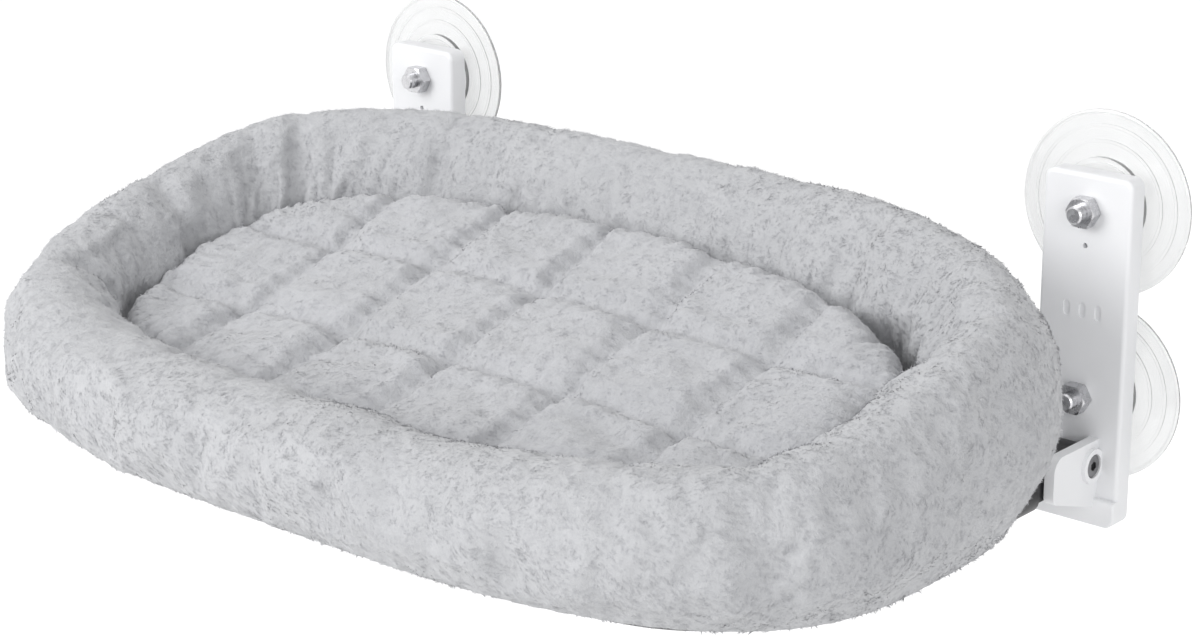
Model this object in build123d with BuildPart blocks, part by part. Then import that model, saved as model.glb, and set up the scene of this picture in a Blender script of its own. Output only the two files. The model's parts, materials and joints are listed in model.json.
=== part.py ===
from build123d import *
import math
import os

os.makedirs("parts", exist_ok=True)

# A pet bed that hangs on a window pane by four suction cups and folds up on two hinges.
# Lengths are in millimetres. X runs along the pane, +Y points out through the glass, Z is up.
# The origin is on the glass, in the middle of the four suction cups.
# Depths are measured from the glass into the room, so a depth of d lies at y = -d.

# Places on the pane
bracket_spacing = 408.0
hinge_below_lower_cup = 28.5
overrun = 1.0

# Suction cup, and the gap between the two cups of a bracket
cup_radius = 42.5
cup_gap = 1.5
cup_height = 7.5
cup_rim = 1.2
cup_bead_radius = 1.1
cup_seal_width = 4.5
cup_hollow = 1.1
dish_height = 3.2
hub_radius = 21.5
hub_ring_width = 2.4
hub_ring_height = 5.6
hub_floor_height = 4.4
hub_boss_radius = 12.5
dish_ridge_width = 1.4
dish_ridge_height = 0.35
dish_ridge_shares = (0.33, 0.66)

# Threaded stud moulded into the cup, and its nut
stud_radius = 4.0
stud_past_nut = 5.0
stud_chamfer = 0.7
stud_flange_radius = 9.0
stud_flange_height = 1.6
stud_flange_above_glass = 2.4
insert_clearance = 0.05
stud_hole_clearance = 0.3
nut_flats = 13.0
nut_height = 6.5

# Moulded bracket
plate_width = 45.0
plate_depth = 10.0
plate_above_cup = 16.6
plate_below_cup = 58.5
plate_corner = 5.0
plate_edge_round = 2.0
plate_wall = 2.6
plate_face_wall = 3.0
pocket_corner = 1.8
socket_boss_radius = 11.0
rib_thickness = 2.0
rib_from_middle = 12.0
root_block_height = 30.0
lip_height = 13.0
lip_out = 2.4
lip_round = 1.1
pin_hole_radius = 1.2
pin_hole_below_cup = 16.0
dimple_length = 7.0
dimple_width = 3.4
dimple_depth = 0.7
dimple_pitch = 8.0
dimple_count = 3
dimples_below_cup = 46.0

# Hinge clevis on the bracket
hinge_stand_off = 6.0
cheek_thickness = 5.0
cheek_reach = 36.5
cheek_top = 11.0
cheek_nose_drop = 10.0
cheek_heel_drop = 23.0
cheek_nose_round = 7.0
cheek_chin_round = 4.0
floor_thickness = 3.6
floor_reach = 24.5
bolt_boss_radius = 8.0
bolt_boss_out = 2.0
bolt_seat_wall = 2.6

# Hinge bolt and lock nut
bolt_radius = 3.0
bolt_hole_clearance = 0.2
bolt_head_radius = 5.2
bolt_head_height = 4.0
bolt_socket_flats = 4.0
bolt_socket_depth = 2.4
bolt_past_nut = 1.2
head_clearance = 0.4
lock_nut_flats = 10.0
lock_nut_height = 5.0

# Hinge arm, which turns between the cheeks
arm_width = 12.0
side_play = 0.1
knuckle_radius = 8.8
knuckle_gap = 0.4
stop_step = 0.4
arm_nose_top = 1.0
tube_drop = 7.5
socket_start_past_cheek = 4.0
socket_length = 42.0
socket_wall = 1.15
tube_grip = 16.0
cross_tube_past_cheek = 16.0
cross_socket_reach = 20.0
cross_tube_grip = 12.0

# Plain bushes in the arm
bush_radius = 4.5
bush_press_clearance = 0.02
bush_flange_radius = 7.4
bush_flange = 0.8
bush_gap = 0.2
running_clearance = 0.05

# Steel tube frame, set back under the nest's wall
tube_radius = 6.0
tube_wall = 1.0
tube_fit = 0.05
frame_set_back = 34.0
front_corner_radius = 75.0
plug_length = 25.0
swage_length = 6.0
plug_clearance = 0.05

# Pan head screws that hold the tubes
screw_radius = 1.9
screw_hole_clearance = 0.15
screw_head_radius = 3.8
screw_head_height = 2.4
screw_slot_flats = 1.6
screw_slot_depth = 1.3
screw_pad_radius = 4.4
screw_pad_out = 0.9
screw_tip_past_wall = 2.0
joint_screw_from_middle = 12.5

# Nest: the oval line that the stuffed wall follows, and the wall on it
nest_past_bracket = 29.0
nest_half_width = 121.0
nest_squareness = 2.98
nest_gap_to_glass = 30.0
wall_width = 62.0
wall_front_height = 58.0
wall_back_height = 116.0
wall_sink_share = 0.03
wall_stations = 21
wall_line_turn = 120
wall_line_step = 10

# Cloth that carries the nest
cloth_clearance = 0.3
sleeve_cloth = 1.2
sleeve_tab = 18.0
strap_clearance = 0.15
panel_cloth = 0.9
sleeve_end_gap = 9.0
front_sleeve_inner = 32.0
corner_bow_share = 0.1
notch_depth = 18.0
base_cloth = 1.5
base_past_middle = 6.0

# Seat mat
mat_front_height = 31.0
mat_back_height = 83.0
mat_clearance = 1.2
mat_crown = 8.0
mat_top_round = 12.0
mat_foot_round = 10.0
outline_points = 28
channel_length_shares = (-0.66, -0.33, 0, 0.33, 0.66)
channel_width_shares = (-0.33, 0.33)
channel_radius = 15.0
channel_depth = 2.6

# Straps that tie the nest to the tubes
strap_width = 22.0
strap_cloth = 1.2
strap_flap = 24.0
strap_from_middle = 90.0

# Places worked out from the sizes above
cup_spacing = 2 * cup_radius + cup_gap
upper_cup_z = cup_spacing / 2
lower_cup_z = -cup_spacing / 2
plate_top_z = upper_cup_z + plate_above_cup
plate_bottom_z = lower_cup_z - plate_below_cup
plate_length = plate_top_z - plate_bottom_z
plate_middle_z = (plate_top_z + plate_bottom_z) / 2
plate_front = cup_height + plate_depth
hinge_z = lower_cup_z - hinge_below_lower_cup
hinge_depth = plate_front + hinge_stand_off
clevis_gap = arm_width + 2 * (bush_flange + side_play)
cheek_front = plate_front + cheek_reach
bolt_seat = clevis_gap / 2 + bolt_seat_wall
clevis_side = clevis_gap / 2 + cheek_thickness + bolt_boss_out
arm_underside = knuckle_radius + knuckle_gap + stop_step
tube_z = hinge_z - tube_drop
tube_bore = tube_radius - tube_wall
socket_radius = tube_radius + tube_fit + socket_wall
arm_x = bracket_spacing / 2
socket_start = cheek_front + socket_start_past_cheek
socket_end = socket_start + socket_length
cross_tube_depth = cheek_front + cross_tube_past_cheek
sleeve_inner = tube_radius + cloth_clearance
sleeve_outer = sleeve_inner + sleeve_cloth
panel_z = tube_z + sleeve_outer
base_z = panel_z + panel_cloth + cloth_clearance
nest_z = base_z + base_cloth
nest_half_length = arm_x + nest_past_bracket
nest_middle_depth = nest_gap_to_glass + wall_width / 2 + nest_half_width
front_tube_depth = nest_middle_depth + nest_half_width - frame_set_back
rear_sleeve_half = arm_x - cross_socket_reach - sleeve_end_gap
front_sleeve_outer = arm_x - front_corner_radius - sleeve_end_gap
side_near = socket_end + sleeve_end_gap
side_far = front_tube_depth - front_corner_radius - sleeve_end_gap
sides = {"left": -1, "right": 1}
heights = {"upper": upper_cup_z, "lower": lower_cup_z}


def save(piece, label):
    piece.part.label = label
    export_step(piece.part, f"parts/{label}.step")


def pane_plane(x, depth, z):
    """A plane parallel to the glass that faces the room: local x is X, local y is Z."""
    return Plane(origin=(x, -depth, z), x_dir=(1, 0, 0), z_dir=(0, -1, 0))


def side_plane(x, depth, z):
    """A plane across the pane: local x runs into the room, local y is Z."""
    return Plane(origin=(x, -depth, z), x_dir=(0, -1, 0), z_dir=(-1, 0, 0))


def out_plane(x, depth, z, way):
    """A plane that faces +X or -X, as way says."""
    return Plane(origin=(x, -depth, z), x_dir=(0, 0, 1), z_dir=(way, 0, 0))


def nest_point(degrees, outward):
    """A point of the nest's oval, moved outward from it, and the outward direction there."""
    turn = math.radians(degrees)
    across, along = math.cos(turn), math.sin(turn)
    power = 2 / nest_squareness
    x = math.copysign(nest_half_length * abs(across) ** power, across)
    y = math.copysign(nest_half_width * abs(along) ** power, along)
    slope_x = math.copysign(abs(across) ** (2 - power), across) / nest_half_length
    slope_y = math.copysign(abs(along) ** (2 - power), along) / nest_half_width
    steep = math.hypot(slope_x, slope_y)
    normal = Vector(slope_x / steep, slope_y / steep)
    return Vector(x, y - nest_middle_depth) + normal * outward, normal


def nest_outline(outward):
    """Points of a closed outline: the nest's oval moved outward."""
    turns = [360 * (step + 1 / 2) / outline_points for step in range(outline_points)]
    return [nest_point(turn, outward)[0] for turn in turns]


def wall_height(y):
    """The stuffed wall is lowest at the front and highest against the window."""
    back_share = (y + nest_middle_depth + nest_half_width) / (2 * nest_half_width)
    return wall_front_height + (wall_back_height - wall_front_height) * back_share


def make_cup(x, z):
    """A clear suction cup: a thin dish, a stepped hub and a pocket for the stud's flange."""
    flange_back = stud_flange_above_glass
    flange_front = flange_back + stud_flange_height + 2 * insert_clearance
    with BuildPart() as cup:
        with BuildSketch(Plane(origin=(x, 0, z))):
            with BuildLine():
                Line((0, -cup_hollow), (cup_radius - cup_seal_width, 0))
                Line((cup_radius - cup_seal_width, 0), (cup_radius - cup_bead_radius, 0))
                ThreePointArc(
                    (cup_radius - cup_bead_radius, 0),
                    (cup_radius, -cup_bead_radius),
                    (cup_radius - cup_bead_radius, -2 * cup_bead_radius),
                )
                Polyline(
                    (cup_radius - cup_bead_radius, -2 * cup_bead_radius),
                    (cup_radius - 2 * cup_bead_radius, -cup_rim),
                    (hub_radius, -dish_height),
                    (hub_radius, -hub_ring_height),
                    (hub_radius - hub_ring_width, -hub_ring_height),
                    (hub_radius - hub_ring_width, -hub_floor_height),
                    (hub_boss_radius, -hub_floor_height),
                    (hub_boss_radius, -cup_height),
                    (stud_radius + insert_clearance, -cup_height),
                    (stud_radius + insert_clearance, -flange_front),
                    (stud_flange_radius + insert_clearance, -flange_front),
                    (stud_flange_radius + insert_clearance, -flange_back),
                    (0, -flange_back),
                    (0, -cup_hollow),
                )
            make_face()
            slope = (dish_height - cup_rim) / (cup_radius - 2 * cup_bead_radius - hub_radius)
            for share in dish_ridge_shares:
                ridge_radius = hub_radius + share * (cup_radius - hub_radius)
                ridge_top = dish_height - slope * (ridge_radius - hub_radius) + dish_ridge_height
                with Locations((ridge_radius, -ridge_top)):
                    Rectangle(
                        dish_ridge_width, cup_rim / 2 + dish_ridge_height,
                        align=(Align.CENTER, Align.MIN),
                    )
        revolve(axis=Axis((x, 0, z), (0, 1, 0)))
    return cup


for height_name, height in heights.items():
    for side_name, side in sides.items():
        save(make_cup(side * arm_x, height), f"{height_name}_{side_name}_suction_cup")

# Stud: a flange that the cup grips and a threaded shank that comes out through the bracket
stud_length = plate_front + nut_height + stud_past_nut - stud_flange_above_glass - insert_clearance
with BuildPart() as stud:
    with BuildSketch():
        Circle(stud_flange_radius)
    extrude(amount=stud_flange_height)
    with BuildSketch():
        Circle(stud_radius)
    extrude(amount=stud_length)
    chamfer(stud.faces().sort_by(Axis.Z)[-1].edges(), stud_chamfer)

stud_planes = [
    pane_plane(side * arm_x, stud_flange_above_glass + insert_clearance, height)
    for side in sides.values()
    for height in heights.values()
]
with BuildPart() as cup_studs:
    with Locations(*stud_planes):
        add(stud.part)
save(cup_studs, "cup_studs")


def make_nut(flats, height, bore):
    """A hexagon nut whose corners are turned off at both ends."""
    corner = flats / 2 / math.cos(math.radians(30))
    bevel = (corner - flats / 2) * math.tan(math.radians(30))
    with BuildPart() as nut:
        with BuildSketch():
            RegularPolygon(flats / 2, 6, major_radius=False)
        extrude(amount=height)
        with BuildSketch(Plane.XZ):
            with BuildLine():
                Polyline(
                    (0, 0), (flats / 2, 0), (corner, bevel), (corner, height - bevel),
                    (flats / 2, height), (0, height), (0, 0),
                )
            make_face()
        revolve(axis=Axis.Z, mode=Mode.INTERSECT)
        with BuildSketch():
            Circle(bore)
        extrude(amount=height, mode=Mode.SUBTRACT)
    return nut


cup_nut = make_nut(nut_flats, nut_height, stud_radius + insert_clearance)
cup_nut_planes = [
    pane_plane(side * arm_x, plate_front, height)
    for side in sides.values()
    for height in heights.values()
]
with BuildPart() as cup_nuts:
    with Locations(*cup_nut_planes):
        add(cup_nut.part)
save(cup_nuts, "cup_nuts")


def make_bracket(side):
    """A moulded bracket: a shell open towards the glass, with sockets, ribs and a clevis."""
    middle = side * arm_x
    rear = pane_plane(middle, cup_height, 0)
    front = pane_plane(middle, plate_front, 0)
    pocket_depth = plate_depth - plate_face_wall
    clevis_root = plate_front - plate_face_wall
    with BuildPart() as bracket:
        with BuildSketch(rear):
            with Locations((0, plate_middle_z)):
                RectangleRounded(plate_width, plate_length, plate_corner)
        extrude(amount=plate_depth)
        fillet(bracket.faces().sort_by(Axis.Y)[0].edges(), plate_edge_round)

        # Thicker lip across the foot
        with BuildSketch(rear) as lip:
            with Locations((0, plate_bottom_z)):
                Rectangle(plate_width, lip_height, align=(Align.CENTER, Align.MIN))
            fillet(lip.vertices().group_by(Axis.Y)[0], plate_corner)
        extrude(amount=plate_depth + lip_out)
        fillet(bracket.faces().sort_by(Axis.Y)[0].edges(), lip_round)

        # Open back with stud sockets, ribs and a solid block behind the hinge
        with BuildSketch(rear):
            with Locations((0, plate_middle_z)):
                RectangleRounded(
                    plate_width - 2 * plate_wall, plate_length - 2 * plate_wall, pocket_corner
                )
        extrude(amount=pocket_depth, mode=Mode.SUBTRACT)
        with BuildSketch(rear):
            with Locations((0, upper_cup_z), (0, lower_cup_z)):
                Circle(socket_boss_radius)
            with Locations((0, plate_middle_z)):
                Rectangle(rib_thickness, plate_length - plate_wall)
            with Locations((0, rib_from_middle), (0, -rib_from_middle)):
                Rectangle(plate_width - plate_wall, rib_thickness)
            with Locations((0, hinge_z)):
                Rectangle(plate_width - plate_wall, root_block_height)
        extrude(amount=pocket_depth)

        # Two cheeks and the floor that the arm rests on
        for way in (-1, 1):
            cheek_x = middle + way * (clevis_gap + cheek_thickness) / 2
            with BuildSketch(side_plane(cheek_x, 0, hinge_z)):
                with BuildLine():
                    FilletPolyline(
                        (clevis_root, cheek_top),
                        (cheek_front, cheek_top),
                        (cheek_front, -cheek_nose_drop),
                        (clevis_root, -cheek_heel_drop),
                        radius=(0, cheek_nose_round, cheek_chin_round, 0),
                        close=True,
                    )
                make_face()
            extrude(amount=cheek_thickness / 2, both=True)
            boss_x = middle + way * (clevis_gap + cheek_thickness + bolt_boss_out) / 2
            with BuildSketch(side_plane(boss_x, hinge_depth, hinge_z)):
                Circle(bolt_boss_radius)
            extrude(amount=(cheek_thickness + bolt_boss_out) / 2, both=True)
        with BuildSketch(side_plane(middle, 0, hinge_z)):
            with Locations((clevis_root, -arm_underside)):
                Rectangle(
                    floor_reach + plate_face_wall, floor_thickness, align=(Align.MIN, Align.MAX)
                )
        extrude(amount=clevis_gap / 2 + cheek_thickness / 2, both=True)

        # Room for the knuckle, the bolt, its head and its nut
        with BuildSketch(side_plane(middle, hinge_depth, hinge_z)):
            Circle(knuckle_radius + knuckle_gap)
        extrude(amount=clevis_gap / 2, both=True, mode=Mode.SUBTRACT)
        with BuildSketch(side_plane(middle, hinge_depth, hinge_z)):
            Circle(bolt_radius + bolt_hole_clearance)
        extrude(amount=clevis_side + overrun, both=True, mode=Mode.SUBTRACT)
        with BuildSketch(out_plane(middle + side * bolt_seat, hinge_depth, hinge_z, side)):
            Circle(bolt_head_radius + head_clearance)
        extrude(amount=clevis_side - bolt_seat + overrun, mode=Mode.SUBTRACT)
        with BuildSketch(out_plane(middle - side * bolt_seat, hinge_depth, hinge_z, -side)):
            RegularPolygon(lock_nut_flats / 2 + bolt_hole_clearance, 6, major_radius=False)
        extrude(amount=clevis_side - bolt_seat + overrun, mode=Mode.SUBTRACT)

        # Stud holes, the small pin hole and a row of plain dimples
        with BuildSketch(pane_plane(middle, cup_height - overrun, 0)):
            with Locations((0, upper_cup_z), (0, lower_cup_z)):
                Circle(stud_radius + stud_hole_clearance)
        extrude(amount=plate_depth + 2 * overrun, mode=Mode.SUBTRACT)
        with BuildSketch(front):
            with Locations((0, upper_cup_z - pin_hole_below_cup)):
                Circle(pin_hole_radius)
        extrude(amount=-plate_face_wall, mode=Mode.SUBTRACT)
        with BuildSketch(front):
            with Locations((0, upper_cup_z - dimples_below_cup)):
                with GridLocations(dimple_pitch, 0, dimple_count, 1):
                    SlotOverall(dimple_length, dimple_width, rotation=90)
        extrude(amount=-dimple_depth, mode=Mode.SUBTRACT)
    return bracket


for side_name, side in sides.items():
    save(make_bracket(side), f"{side_name}_bracket")

# Hinge bolt: a low socket head in the outer cheek and a shank across the clevis
bolt_length = 2 * bolt_seat + lock_nut_height + bolt_past_nut
with BuildPart() as bolt:
    with BuildSketch():
        Circle(bolt_head_radius)
    extrude(amount=bolt_head_height)
    chamfer(bolt.faces().sort_by(Axis.Z)[-1].edges(), bolt_head_height / 8)
    with BuildSketch():
        Circle(bolt_radius)
    extrude(amount=-bolt_length)
    with BuildSketch(Plane.XY.offset(bolt_head_height)):
        RegularPolygon(bolt_socket_flats / 2, 6, major_radius=False)
    extrude(amount=-bolt_socket_depth, mode=Mode.SUBTRACT)

bolt_planes = [
    out_plane(side * (arm_x + bolt_seat), hinge_depth, hinge_z, side)
    for side in sides.values()
]
with BuildPart() as hinge_bolts:
    with Locations(*bolt_planes):
        add(bolt.part)
save(hinge_bolts, "hinge_bolts")

lock_nut = make_nut(lock_nut_flats, lock_nut_height, bolt_radius + insert_clearance)
lock_nut_planes = [
    out_plane(side * (arm_x - bolt_seat), hinge_depth, hinge_z, -side)
    for side in sides.values()
]
with BuildPart() as hinge_lock_nuts:
    with Locations(*lock_nut_planes):
        add(lock_nut.part)
save(hinge_lock_nuts, "hinge_lock_nuts")

# Flanged bush: two are pressed into each arm, and the bolt runs in them
with BuildPart() as bush:
    with BuildSketch():
        Circle(bush_flange_radius)
    extrude(amount=bush_flange)
    with BuildSketch():
        Circle(bush_radius)
    extrude(amount=-(arm_width - bush_gap) / 2)
    with BuildSketch(Plane.XY.offset(bush_flange)):
        Circle(bolt_radius + running_clearance)
    extrude(amount=-(bush_flange + arm_width / 2), mode=Mode.SUBTRACT)

bush_planes = [
    out_plane(side * arm_x + way * arm_width / 2, hinge_depth, hinge_z, way)
    for side in sides.values()
    for way in (-1, 1)
]
with BuildPart() as hinge_bushes:
    with Locations(*bush_planes):
        add(bush.part)
save(hinge_bushes, "hinge_bushes")

# Where the five tube screws go in, from below
front_screw_depth = socket_end - tube_grip / 2
cross_screw_in = cross_socket_reach - cross_tube_grip / 2


def make_arm(side):
    """A hinge arm: a blade with the knuckle, and two tube sockets at a right angle."""
    middle = side * arm_x
    screw_points = (
        (middle, -front_screw_depth),
        (middle - side * cross_screw_in, -cross_tube_depth),
    )
    with BuildPart() as arm:
        with BuildSketch(side_plane(middle, 0, hinge_z)):
            with BuildLine():
                Polyline(
                    (hinge_depth, knuckle_radius),
                    (socket_start, arm_nose_top),
                    (cross_tube_depth, -tube_drop),
                    (cross_tube_depth, -arm_underside),
                    (hinge_depth, -arm_underside),
                    (hinge_depth, knuckle_radius),
                )
            make_face()
            with Locations((hinge_depth, 0)):
                Circle(knuckle_radius)
        extrude(amount=arm_width / 2, both=True)

        # Sockets for the side tube and for the cross tube
        with BuildSketch(pane_plane(middle, socket_start, tube_z)):
            Circle(socket_radius)
        extrude(amount=socket_length)
        cross_middle = middle - side * cross_socket_reach / 2
        with BuildSketch(side_plane(cross_middle, cross_tube_depth, tube_z)):
            Circle(socket_radius)
        extrude(amount=cross_socket_reach / 2, both=True)

        # Pads that the screw heads sit on
        with BuildSketch(Plane.XY.offset(tube_z)):
            with Locations(*screw_points):
                Circle(screw_pad_radius)
        extrude(amount=-(socket_radius + screw_pad_out))

        # Bores
        with BuildSketch(pane_plane(middle, socket_end - tube_grip, tube_z)):
            Circle(tube_radius + tube_fit)
        extrude(amount=tube_grip + overrun, mode=Mode.SUBTRACT)
        mouth = out_plane(
            middle - side * (cross_socket_reach - cross_tube_grip), cross_tube_depth, tube_z, -side
        )
        with BuildSketch(mouth):
            Circle(tube_radius + tube_fit)
        extrude(amount=cross_tube_grip + overrun, mode=Mode.SUBTRACT)
        with BuildSketch(side_plane(middle, hinge_depth, hinge_z)):
            Circle(bush_radius + bush_press_clearance)
        extrude(amount=arm_width / 2 + overrun, both=True, mode=Mode.SUBTRACT)
        with BuildSketch(Plane.XY.offset(tube_z)):
            with Locations(*screw_points):
                Circle(screw_radius + screw_hole_clearance)
        extrude(amount=-(socket_radius + screw_pad_out + overrun), mode=Mode.SUBTRACT)
    return arm


for side_name, side in sides.items():
    save(make_arm(side), f"{side_name}_hinge_arm")


def make_frame_half(side):
    """Half of the bent tube: out of the arm, along the side and to the middle of the front."""
    with BuildPart() as half:
        with BuildLine(Plane.XY.offset(tube_z)) as route:
            FilletPolyline(
                (side * arm_x, -(socket_end - tube_grip)),
                (side * arm_x, -front_tube_depth),
                (0, -front_tube_depth),
                radius=front_corner_radius,
            )
        with BuildSketch(route.line ^ 0):
            Circle(tube_radius)
            Circle(tube_bore, mode=Mode.SUBTRACT)
        sweep()
        if side > 0:
            # The right half is drawn down to a plug that slides into the left half
            with BuildSketch(out_plane(swage_length, front_tube_depth, tube_z, -1)):
                Circle(tube_radius)
                Circle(tube_bore - tube_wall, mode=Mode.SUBTRACT)
            extrude(amount=swage_length)
            with BuildSketch(out_plane(0, front_tube_depth, tube_z, -1)):
                Circle(tube_bore - plug_clearance)
                Circle(tube_bore - tube_wall, mode=Mode.SUBTRACT)
            extrude(amount=plug_length)
        with BuildSketch(Plane.XY.offset(tube_z)):
            with Locations(
                (side * arm_x, -front_screw_depth), (-joint_screw_from_middle, -front_tube_depth)
            ):
                Circle(screw_radius + screw_hole_clearance)
        extrude(amount=-(tube_radius + overrun), mode=Mode.SUBTRACT)
    return half


for side_name, side in sides.items():
    save(make_frame_half(side), f"{side_name}_frame_half")

# Cross tube between the two arms
cross_tube_half = arm_x - (cross_socket_reach - cross_tube_grip)
cross_screw_x = arm_x - cross_screw_in
with BuildPart() as rear_cross_tube:
    with BuildSketch(side_plane(0, cross_tube_depth, tube_z)):
        Circle(tube_radius)
        Circle(tube_bore, mode=Mode.SUBTRACT)
    extrude(amount=cross_tube_half, both=True)
    with BuildSketch(Plane.XY.offset(tube_z)):
        with Locations((-cross_screw_x, -cross_tube_depth), (cross_screw_x, -cross_tube_depth)):
            Circle(screw_radius + screw_hole_clearance)
    extrude(amount=-(tube_radius + overrun), mode=Mode.SUBTRACT)
save(rear_cross_tube, "rear_cross_tube")


def make_tube_screw(length):
    """A pan head screw that stands on its head, with a square drive."""
    with BuildPart() as screw:
        with BuildSketch():
            Circle(screw_head_radius)
        extrude(amount=-screw_head_height)
        fillet(screw.faces().sort_by(Axis.Z)[0].edges(), screw_head_height / 3)
        with BuildSketch():
            Circle(screw_radius)
        extrude(amount=length)
        with BuildSketch(Plane.XY.offset(-screw_head_height)):
            Rectangle(screw_slot_flats, screw_slot_flats)
        extrude(amount=screw_slot_depth, mode=Mode.SUBTRACT)
    return screw


pad_level = tube_z - socket_radius - screw_pad_out
socket_screw = make_tube_screw(socket_radius + screw_pad_out - tube_bore + screw_tip_past_wall)
joint_screw = make_tube_screw(2 * tube_wall + screw_tip_past_wall)
socket_screw_places = [
    place
    for side in sides.values()
    for place in (
        (side * arm_x, -front_screw_depth, pad_level),
        (side * cross_screw_x, -cross_tube_depth, pad_level),
    )
]
with BuildPart() as tube_screws:
    with Locations(*socket_screw_places):
        add(socket_screw.part)
    with Locations((-joint_screw_from_middle, -front_tube_depth, tube_z - tube_radius)):
        add(joint_screw.part)
save(tube_screws, "tube_screws")

# Sling: a stretched cloth panel, sewn down on the tabs of its sleeves
with BuildPart() as sling_panel:
    with BuildSketch(Plane.XY.offset(panel_z)):
        with BuildLine():
            Polyline(
                (0, -cross_tube_depth),
                (rear_sleeve_half, -cross_tube_depth),
                (arm_x, -side_near),
                (arm_x, -side_far),
            )
            corner_run = arm_x - front_sleeve_outer
            ThreePointArc(
                (arm_x, -side_far),
                (
                    arm_x - corner_run * (1 / 2 + corner_bow_share),
                    -(side_far + front_tube_depth) / 2 + corner_run * corner_bow_share,
                ),
                (front_sleeve_outer, -front_tube_depth),
            )
            Polyline(
                (front_sleeve_outer, -front_tube_depth),
                (front_sleeve_inner, -front_tube_depth),
                (front_sleeve_inner, -front_tube_depth + notch_depth),
                (0, -front_tube_depth + notch_depth),
                (0, -cross_tube_depth),
            )
        make_face()
        mirror(about=Plane.YZ)
    extrude(amount=panel_cloth)
save(sling_panel, "sling_panel")


def across_tube(x, y, turn):
    """Across a tube at a point of its run; local x points out of the nest, local y is Z."""
    out = Vector(math.cos(math.radians(turn)), math.sin(math.radians(turn)))
    return Plane(origin=(x, y, tube_z), x_dir=out, z_dir=out.cross(Vector(0, 0, 1)))


# Sleeves round the straight runs of tube, each with a flat tab under the panel's edge
front_sleeve_middle = (front_sleeve_inner + front_sleeve_outer) / 2
front_sleeve_half = (front_sleeve_outer - front_sleeve_inner) / 2
side_sleeve_middle = (side_far + side_near) / 2
side_sleeve_half = (side_far - side_near) / 2
sleeve_runs = [
    (across_tube(0, -cross_tube_depth, 90), rear_sleeve_half),
    (across_tube(arm_x, -side_sleeve_middle, 0), side_sleeve_half),
    (across_tube(-arm_x, -side_sleeve_middle, 180), side_sleeve_half),
    (across_tube(front_sleeve_middle, -front_tube_depth, -90), front_sleeve_half),
    (across_tube(-front_sleeve_middle, -front_tube_depth, -90), front_sleeve_half),
]
with BuildPart() as sling_sleeves:
    for run_plane, half_length in sleeve_runs:
        with BuildSketch(run_plane):
            Circle(sleeve_outer)
            Circle(sleeve_inner, mode=Mode.SUBTRACT)
            with Locations((0, sleeve_inner)):
                Rectangle(sleeve_tab, sleeve_cloth, align=(Align.MAX, Align.MIN))
        extrude(amount=half_length, both=True)
save(sling_sleeves, "sling_sleeves")

# Base cloth that the stuffed wall and the mat lie on
with BuildPart() as nest_base_cloth:
    with BuildSketch(Plane.XY.offset(base_z)):
        with BuildLine():
            Spline(nest_outline(base_past_middle), periodic=True)
        make_face()
    extrude(amount=base_cloth)
save(nest_base_cloth, "nest_base_cloth")

# Stuffed wall: oval sections at even distances along half of the nest's line, lofted and
# mirrored. The line runs past the middle at both ends, so that the halves meet smoothly.
with BuildLine() as wall_line:
    line_turns = range(-wall_line_turn, wall_line_turn + wall_line_step, wall_line_step)
    Spline([nest_point(turn, 0)[0] for turn in line_turns])

with BuildPart() as plush_wall:
    for station in range(wall_stations):
        share = station / (wall_stations - 1)
        place = wall_line.line @ share
        outward = (wall_line.line % share).cross(Vector(0, 0, 1))
        height = wall_height(place.Y)
        tall = height * (1 + wall_sink_share) / 2
        section = Plane(
            origin=(place.X, place.Y, nest_z + height - tall),
            x_dir=outward,
            z_dir=outward.cross(Vector(0, 0, 1)),
        )
        with BuildSketch(section):
            Ellipse(wall_width / 2, tall)
    loft()
    split(bisect_by=Plane.YZ, keep=Keep.TOP)
    mirror(about=Plane.YZ)
    with BuildSketch(Plane.XY.offset(nest_z)):
        with Locations((0, -nest_middle_depth)):
            Rectangle(3 * nest_half_length, 3 * nest_half_length)
    extrude(amount=-wall_back_height, mode=Mode.SUBTRACT)
save(plush_wall, "plush_wall")

# Seat mat: a plump quilted pad that is thicker at the back, with a crowned top, rounded
# edges and channels across it. The crown is part of a large ball on the tilted top plane.
mat_edge = -(wall_width / 2 + mat_clearance)
mat_half_length = nest_half_length + mat_edge
mat_half_width = nest_half_width + mat_edge
mat_middle_height = (mat_front_height + mat_back_height) / 2 + mat_crown
mat_tilt = math.degrees(math.atan2(mat_back_height - mat_front_height, 2 * mat_half_width))
crown_radius = mat_half_length ** 2 / (2 * mat_crown)
crown_middle = (
    Plane(origin=(0, -nest_middle_depth, nest_z + mat_middle_height))
    .rotated((mat_tilt, 0, 0))
    .offset(-crown_radius)
)


def channel_ring(from_middle):
    """Radius of the ring that presses a channel into the crown, that far from its middle."""
    return math.sqrt(crown_radius ** 2 - from_middle ** 2) + channel_radius - channel_depth


with BuildPart() as seat_mat:
    with BuildSketch(Plane.XY.offset(nest_z)):
        with BuildLine():
            Spline(nest_outline(mat_edge), periodic=True)
        make_face()
    extrude(amount=mat_back_height + mat_middle_height)
    with Locations(crown_middle):
        Sphere(crown_radius, rotation=(90, 0, 0), mode=Mode.INTERSECT)
    foot = seat_mat.edges().group_by(Axis.Z)[0]
    fillet(seat_mat.edges() - foot, mat_top_round)
    fillet(seat_mat.edges().group_by(Axis.Z)[0], mat_foot_round)
    with Locations(crown_middle):
        for share in channel_length_shares:
            from_middle = mat_half_length * share
            with Locations((from_middle, 0, 0)):
                Torus(
                    channel_ring(from_middle),
                    channel_radius,
                    rotation=(0, 90, 0),
                    mode=Mode.SUBTRACT,
                )
        for share in channel_width_shares:
            from_middle = mat_half_width * share
            with Locations((0, from_middle, 0)):
                Torus(
                    channel_ring(from_middle),
                    channel_radius,
                    rotation=(90, 0, 0),
                    mode=Mode.SUBTRACT,
                )
save(seat_mat, "seat_mat")

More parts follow.
